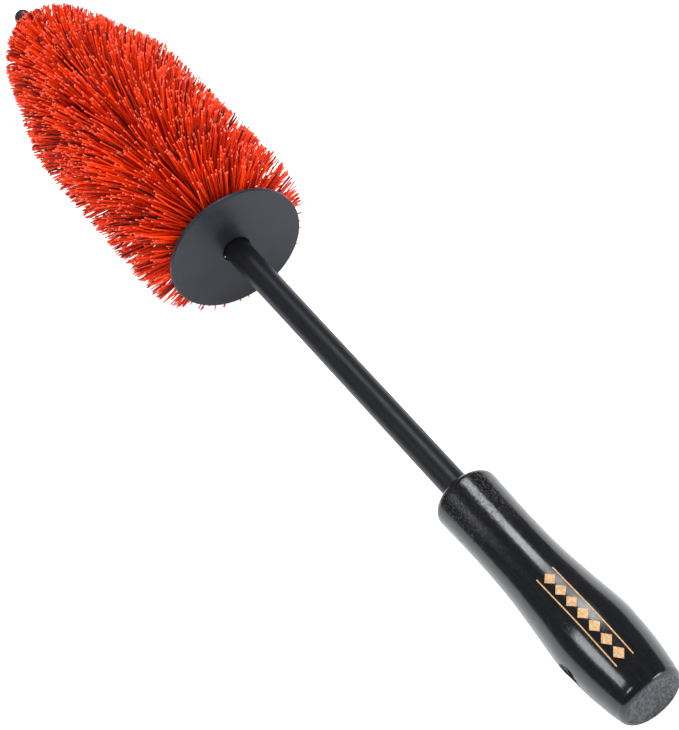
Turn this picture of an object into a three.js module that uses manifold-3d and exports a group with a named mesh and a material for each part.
// A wheel brush: a twisted-wire bristle head with a guard disc, on a plastic stem in a turned wooden handle.
// Each piece is drawn about the brush's own axis, X, with 0 at the middle of the guard disc, the handle
// towards +X and the bristle head towards -X. The whole brush is then laid down on the floor, z = 0, as it
// comes to rest: on the foot of its bristle head and on the swell of its handle. Millimetres, +Z up.

import * as THREE from "three";
import { mergeVertices } from "three/addons/utils/BufferGeometryUtils.js";
import Module from "manifold-3d";

const wasm = await Module();
wasm.setup();

const DEGREE = Math.PI / 180;
const CLEARANCE = 0.35; // between a piece and its seat
const SMALL_FACETS = 24; // round small pieces

// Driving dimensions along the axis, from the middle of the guard disc
const EXPOSED_STEM = 155.1; // guard disc to the top of the handle
const HANDLE_LENGTH = 109;
const TIP_REACH = 185.8; // guard disc to the end of the tip cap

// Core wire: one wire folded to a hairpin and twisted
const WIRE_RADIUS = 1.2;
const STRAND_OFFSET = 1.4; // from the twist's axis to the middle of each strand
const CORE_RADIUS = STRAND_OFFSET + WIRE_RADIUS;
const CORE_BORE = CORE_RADIUS + CLEARANCE;

// Bristle head
const HEAD_RADIUS = 36.7;
const TURN_COUNT = 16; // rings of filaments, one for each half turn of the wire
const FIRST_ROOT = 3.7; // nearest filament roots, from the guard disc
const LAST_ROOT = 169;
const TURN_GAP = 0.4;
const BODY_LEAN = 24 * DEGREE; // of the filaments towards the tip, along most of the head
const NOSE_LEAN = 50 * DEGREE; // at the last roots
const LEAN_GROWTH = 30; // the lean starts at the disc and settles over this length
const NOSE_LEAN_POWER = 6; // how suddenly the lean grows again towards the nose
const TAPER_START = 104; // the head is a cylinder up to here, from the guard disc
const TAPER_SLOPE = 0.27; // loss of radius with each mm past it
const NOSE_START = 145; // where the head starts to round off to a point
const NOSE_LENGTH = 33;
const NOSE_POWER = 3; // how full the nose is
const HEAD_FACETS = 24;

// Stem sleeve
const SLEEVE_RADIUS = 5.33;
const SLEEVE_PAST_DISC = 2.6;
const SLEEVE_IN_HANDLE = 34;
const SLEEVE_BEVEL = 0.5;
const SLEEVE_FACETS = 36;

// Guard disc
const DISC_RADIUS = 28.7;
const DISC_THICKNESS = 2;
const DISC_HOLE = SLEEVE_RADIUS + 0.5;
const DISC_LEAN = 3.9 * DEGREE; // the loose disc sits a little out of square
const DISC_FACETS = 60;

// Tip cap
const CAP_BALL_RADIUS = 3.85;
const CAP_NECK_RADIUS = 3.6;
const CAP_LENGTH = 14.5;
const CAP_WALL = 1.6; // between the wire's fold and the end of the ball

// Handle
const SOCKET_RADIUS = SLEEVE_RADIUS + CLEARANCE;
const SOCKET_DEPTH = 42;
const SHOULDER_FLAT = 6.4; // radius of the flat ring round the stem
const SHOULDER_LENGTH = 4.3;
const GRIP_RADIUS = 12.8;
const WAIST = [26, 12.3]; // distance from the top, radius
const SWELL = [77, 15.6];
const BEFORE_SWELL = [[44, 12.65], [60, 14]];
const AFTER_SWELL = [[91, 15], [102, 13.6]];
const BUTT_ROUND = 3; // radius of the butt's round edge
const BUTT_FACE_RADIUS = 9.8;
const HANG_HOLE_FROM_BUTT = 26;
const HANG_HOLE_RADIUS = 4.3;
const HANG_HOLE_MOUTH = 4.9; // radius of the broken edge
const MOUTH_DEPTH = 1.2;
const HANDLE_FACETS = 40;

// Socket adhesive
const WIRE_END = EXPOSED_STEM + 39; // cut ends of the wire
const ADHESIVE_BELOW_WIRE = 0.6;

function material(color, roughness, metalness = 0) {
  return new THREE.MeshStandardMaterial({ color, roughness, metalness });
}

const lacquer = material(0x0d0d0f, 0.15);
const sleevePlastic = material(0x1b1b1e, 0.45);
const discPlastic = material(0x2f3338, 0.5);
const capRubber = material(0x151517, 0.55);
const redFilament = material(0xd8261a, 0.45);
const galvanisedWire = material(0x9a9da1, 0.4, 1);
const epoxy = material(0xb9a878, 0.3);

function named(name, geometry, surface) {
  const mesh = new THREE.Mesh(geometry, surface);
  mesh.name = name;
  return mesh;
}

// Turns an outline of [x, radius] points about the X axis. The outline runs from +X round the outside to -X,
// and either starts and ends on the axis or closes on itself. The middle of each flat facet is at the
// outline's radius, and one facet faces the floor.
function turned(outline, facets) {
  const cornerScale = 1 / Math.cos(Math.PI / facets);
  const points = outline.map(([x, radius]) => new THREE.Vector2(radius * cornerScale, x));
  const geometry = new THREE.LatheGeometry(points.reverse(), facets);
  geometry.rotateY(Math.PI / facets);
  return geometry.rotateZ(-Math.PI / 2);
}

function closed(outline) {
  return [...outline, outline[0]];
}

// Points on a quarter of an ellipse, from angle 0 (along +X) to 90 degrees (along the radius)
function quarterRound(centreX, centreRadius, reachX, reachRadius, steps) {
  return Array.from({ length: steps + 1 }, (_, i) => {
    const angle = (i / steps) * 90 * DEGREE;
    return [centreX + reachX * Math.cos(angle), centreRadius + reachRadius * Math.sin(angle)];
  });
}

function solid(geometry) {
  const bare = geometry.clone();
  bare.deleteAttribute("normal");
  bare.deleteAttribute("uv");
  const merged = mergeVertices(bare, 1e-4);
  return new wasm.Manifold(
    new wasm.Mesh({
      numProp: 3,
      vertProperties: new Float32Array(merged.attributes.position.array),
      triVerts: new Uint32Array(merged.index.array),
    }),
  );
}

function geometryOf(manifold) {
  const mesh = manifold.getMesh();
  const geometry = new THREE.BufferGeometry();
  geometry.setAttribute("position", new THREE.BufferAttribute(mesh.vertProperties, 3));
  geometry.setIndex(new THREE.BufferAttribute(mesh.triVerts, 1));
  geometry.computeVertexNormals();
  return geometry;
}

// The trimmed outside of the bristle head: its radius at a distance from the guard disc
function headRadius(distance) {
  const cone = HEAD_RADIUS - TAPER_SLOPE * Math.max(0, distance - TAPER_START);
  const alongNose = Math.max(0, distance - NOSE_START) / NOSE_LENGTH;
  return cone * Math.max(0, 1 - alongNose ** NOSE_POWER);
}

// How far a filament leans towards the tip, from the distance of its root from the guard disc
function lean(root) {
  const settled = BODY_LEAN * (1 - Math.exp(-root / LEAN_GROWTH));
  return settled + (NOSE_LEAN - BODY_LEAN) * (root / LAST_ROOT) ** NOSE_LEAN_POWER;
}

// The point [distance, radius] where a filament from this root is trimmed off
function trimmedEnd(root) {
  const along = Math.sin(lean(root));
  const outwards = Math.cos(lean(root));
  let inside = 0;
  let outside = 2 * HEAD_RADIUS;
  for (let i = 0; i < 30; i += 1) {
    const length = (inside + outside) / 2;
    const isInside = CORE_BORE + length * outwards < headRadius(root + length * along);
    if (isInside) {
      inside = length;
    } else {
      outside = length;
    }
  }
  return [root + inside * along, CORE_BORE + inside * outwards];
}

// One ring of filaments, as the solid that they sweep: a thick leaning collar round the core
function bristleTurn(index) {
  const pitch = (LAST_ROOT - FIRST_ROOT) / TURN_COUNT;
  const near = FIRST_ROOT + index * pitch;
  const far = near + pitch - TURN_GAP;
  const ends = [near, (near + far) / 2, far].map(trimmedEnd);
  const outline = [[near, CORE_BORE], ...ends, [far, CORE_BORE]];
  const geometry = turned(closed(outline.map(([distance, radius]) => [-distance, radius])), HEAD_FACETS);
  return named(`bristle_turn_${String(index + 1).padStart(2, "0")}`, geometry, redFilament);
}

// The middle line of the folded and twisted wire: along one strand to the tip, round the fold and back.
// The twist dies away at the fold, so that the fold is a plain half circle.
class HairpinTwist extends THREE.Curve {
  constructor(foldX, endX, offset, pitch) {
    super();
    Object.assign(this, { foldX, strand: endX - foldX, offset, pitch, arcLengthDivisions: 6000 });
  }

  onStrand(fromFold, side) {
    const easedLength = (fromFold * fromFold) / (fromFold + this.pitch / 2);
    const angle = (2 * Math.PI * easedLength) / this.pitch + (side > 0 ? 0 : Math.PI);
    const x = this.foldX + fromFold;
    return new THREE.Vector3(x, this.offset * Math.cos(angle), this.offset * Math.sin(angle));
  }

  getPoint(t) {
    const fold = Math.PI * this.offset;
    const place = t * (2 * this.strand + fold);
    if (place < this.strand) return this.onStrand(this.strand - place, 1);
    if (place > this.strand + fold) return this.onStrand(place - this.strand - fold, -1);
    const angle = (place - this.strand) / this.offset;
    return new THREE.Vector3(this.foldX - this.offset * Math.sin(angle), this.offset * Math.cos(angle), 0);
  }
}

function coreWire() {
  const sides = 6;
  const stepsPerTurn = 8;
  const pitch = (2 * (LAST_ROOT - FIRST_ROOT)) / TURN_COUNT; // two rings of filaments to each full turn
  const foldX = -TIP_REACH + CAP_WALL + CORE_RADIUS;
  const path = new HairpinTwist(foldX, WIRE_END, STRAND_OFFSET, pitch);
  const section = new THREE.Shape();
  for (let i = 0; i < sides; i += 1) {
    const angle = (i * 2 * Math.PI) / sides;
    const corner = [WIRE_RADIUS * Math.cos(angle), WIRE_RADIUS * Math.sin(angle)];
    if (i === 0) {
      section.moveTo(...corner);
    } else {
      section.lineTo(...corner);
    }
  }
  section.closePath();
  const steps = Math.round((2 * (WIRE_END - foldX) * stepsPerTurn) / pitch);
  const geometry = new THREE.ExtrudeGeometry(section, { steps, extrudePath: path, bevelEnabled: false });
  return named("core_wire", geometry, galvanisedWire);
}

function tipCap() {
  const ballX = -TIP_REACH + CAP_BALL_RADIUS;
  const mouthX = -TIP_REACH + CAP_LENGTH;
  const boreEnd = -TIP_REACH + CAP_WALL - CLEARANCE;
  const neckX = ballX + Math.sqrt(CAP_BALL_RADIUS ** 2 - CAP_NECK_RADIUS ** 2);
  const ballSteps = 7;
  const startAngle = Math.atan2(CAP_NECK_RADIUS, neckX - ballX);
  const ball = Array.from({ length: ballSteps + 1 }, (_, i) => {
    const angle = startAngle + (i / ballSteps) * (Math.PI - startAngle);
    const radius = i === ballSteps ? 0 : CAP_BALL_RADIUS * Math.sin(angle);
    return [ballX + CAP_BALL_RADIUS * Math.cos(angle), radius];
  });
  const boreRound = quarterRound(-boreEnd - CORE_BORE, 0, CORE_BORE, CORE_BORE, 4)
    .map(([x, radius]) => [-x, radius]);
  const outline = [...boreRound, [mouthX, CORE_BORE], [mouthX, CAP_NECK_RADIUS], ...ball];
  return named("tip_cap", turned(outline, SMALL_FACETS), capRubber);
}

function stemSleeve() {
  const topX = -SLEEVE_PAST_DISC;
  const footX = EXPOSED_STEM + SLEEVE_IN_HANDLE;
  const outline = [
    [footX, CORE_BORE],
    [footX, SLEEVE_RADIUS - SLEEVE_BEVEL],
    [footX - SLEEVE_BEVEL, SLEEVE_RADIUS],
    [topX + SLEEVE_BEVEL, SLEEVE_RADIUS],
    [topX, SLEEVE_RADIUS - SLEEVE_BEVEL],
    [topX, CORE_BORE],
  ];
  return named("stem_sleeve", turned(closed(outline), SLEEVE_FACETS), sleevePlastic);
}

function guardDisc() {
  const half = DISC_THICKNESS / 2;
  const rimSteps = 6;
  const rim = Array.from({ length: rimSteps + 1 }, (_, i) => {
    const angle = (i / rimSteps) * Math.PI;
    return [half * Math.cos(angle), DISC_RADIUS - half + half * Math.sin(angle)];
  });
  const outline = [[half, DISC_HOLE], ...rim, [-half, DISC_HOLE]];
  const disc = named("guard_disc", turned(closed(outline), DISC_FACETS), discPlastic);
  disc.rotation.z = -DISC_LEAN;
  return disc;
}

// The outside of the handle from its butt to its top, as distances from its top
function handleOutside() {
  const buttStart = HANDLE_LENGTH - BUTT_ROUND;
  const butt = quarterRound(buttStart, BUTT_FACE_RADIUS, BUTT_ROUND, BUTT_ROUND, 4);
  const shoulder = quarterRound(-SHOULDER_LENGTH, SHOULDER_FLAT, SHOULDER_LENGTH, GRIP_RADIUS - SHOULDER_FLAT, 5)
    .map(([x, radius]) => [-x, radius]);
  const shoulderEnd = [SHOULDER_LENGTH, GRIP_RADIUS];
  const buttEdge = [buttStart, BUTT_FACE_RADIUS + BUTT_ROUND];
  const grip = [shoulderEnd, WAIST, ...BEFORE_SWELL, SWELL, ...AFTER_SWELL, buttEdge];
  const curve = new THREE.SplineCurve(grip.map(([x, radius]) => new THREE.Vector2(x, radius)));
  const along = curve.getPoints(16).map((point) => [point.x, point.y]).reverse();
  return [...butt, ...along.slice(1, -1), ...shoulder.reverse()];
}

function hangHoleTool() {
  const [, outerRadius] = SWELL;
  const mouthY = Math.sqrt(outerRadius ** 2 - HANG_HOLE_MOUTH ** 2);
  const pastSurface = outerRadius + 5;
  const flare = HANG_HOLE_MOUTH + (pastSurface - mouthY) * (HANG_HOLE_MOUTH - HANG_HOLE_RADIUS) / MOUTH_DEPTH;
  const outline = [
    [pastSurface, 0],
    [pastSurface, flare],
    [mouthY - MOUTH_DEPTH, HANG_HOLE_RADIUS],
    [-mouthY + MOUTH_DEPTH, HANG_HOLE_RADIUS],
    [-pastSurface, flare],
    [-pastSurface, 0],
  ];
  const tool = turned(outline, SMALL_FACETS);
  tool.rotateZ(Math.PI / 2);
  return tool.translate(HANDLE_LENGTH - HANG_HOLE_FROM_BUTT, 0, 0);
}

function handle() {
  const outline = [
    [HANDLE_LENGTH, 0],
    ...handleOutside(),
    [0, SOCKET_RADIUS],
    [SOCKET_DEPTH, SOCKET_RADIUS],
    [SOCKET_DEPTH, 0],
  ];
  const body = solid(turned(outline, HANDLE_FACETS)).subtract(solid(hangHoleTool()));
  const mesh = named("handle", geometryOf(body), lacquer);
  mesh.position.x = EXPOSED_STEM;
  return mesh;
}

// Fills the bottom of the socket round the two cut ends of the wire
function socketAdhesive() {
  const topX = EXPOSED_STEM + SLEEVE_IN_HANDLE + CLEARANCE;
  const bottomX = EXPOSED_STEM + SOCKET_DEPTH - CLEARANCE;
  const wellX = WIRE_END + ADHESIVE_BELOW_WIRE;
  const outline = [
    [bottomX, 0],
    [bottomX, SLEEVE_RADIUS],
    [topX, SLEEVE_RADIUS],
    [topX, CORE_BORE],
    [wellX, CORE_BORE],
    [wellX, 0],
  ];
  return named("socket_adhesive", turned(outline, SMALL_FACETS), epoxy);
}

function brush() {
  const pieces = new THREE.Group();
  pieces.add(handle(), socketAdhesive(), stemSleeve(), guardDisc(), coreWire(), tipCap());
  for (let i = 0; i < TURN_COUNT; i += 1) pieces.add(bristleTurn(i));
  return pieces;
}

// The slope of the floor line from the foot of the bristle head that just touches the handle
function restingTilt() {
  const [footDistance, footRadius] = trimmedEnd(FIRST_ROOT);
  const slopes = handleOutside().map(([x, radius]) => (footRadius - radius) / (footDistance + EXPOSED_STEM + x));
  return Math.atan(Math.min(...slopes));
}

// Lays the brush down with the handle lower than the head, and puts the middle of its footprint at the origin
function laidDown(pieces) {
  pieces.rotation.y = restingTilt();
  const box = new THREE.Box3().setFromObject(pieces, true);
  const middle = box.getCenter(new THREE.Vector3());
  pieces.position.set(-middle.x, -middle.y, -box.min.z);
  const whole = new THREE.Group();
  whole.add(pieces);
  return whole;
}

export default laidDown(brush());
